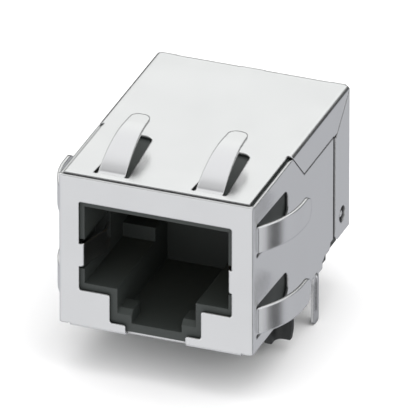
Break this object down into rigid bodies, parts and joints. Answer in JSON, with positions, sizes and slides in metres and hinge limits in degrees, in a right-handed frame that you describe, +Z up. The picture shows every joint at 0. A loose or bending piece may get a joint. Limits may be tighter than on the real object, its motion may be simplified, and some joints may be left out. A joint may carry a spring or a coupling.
{
  "type": "rj45 board jack",
  "caption": "Shielded modular jack for a circuit board, with a plug cavity, spring fingers, ground pins, locating pegs and solder tails.",
  "frame": {"origin": "on the surface of the user's circuit board, midway between the two locating pegs", "axes": "+Z up from the board, -Y out of the plug mouth, X across the jack with the contacts numbered towards +X"},
  "size_m": [0.02, 0.0218, 0.0193],
  "materials": {
    "shield_plate": "satin plated sheet",
    "housing_plastic": "moulded, fine matt",
    "carrier_plastic": "moulded, fine matt",
    "board_laminate": "green coated laminate",
    "contact_plating": "gold plated spring wire",
    "tail_plating": "tinned pin"
  },
  "bodies": {
    "root": {"front_shield": "shield_plate", "rear_shield": "shield_plate", "housing": "housing_plastic", "contact_carrier": "carrier_plastic", "inner_board": "board_laminate", "pin_block": "carrier_plastic", "contact_1": "contact_plating", "contact_2": "contact_plating", "contact_3": "contact_plating", "contact_4": "contact_plating", "contact_5": "contact_plating", "contact_6": "contact_plating", "contact_7": "contact_plating", "contact_8": "contact_plating", "tail_1": "tail_plating", "tail_2": "tail_plating", "tail_3": "tail_plating", "tail_4": "tail_plating", "tail_5": "tail_plating", "tail_6": "tail_plating", "tail_7": "tail_plating", "tail_8": "tail_plating"}
  },
  "joints": []
}
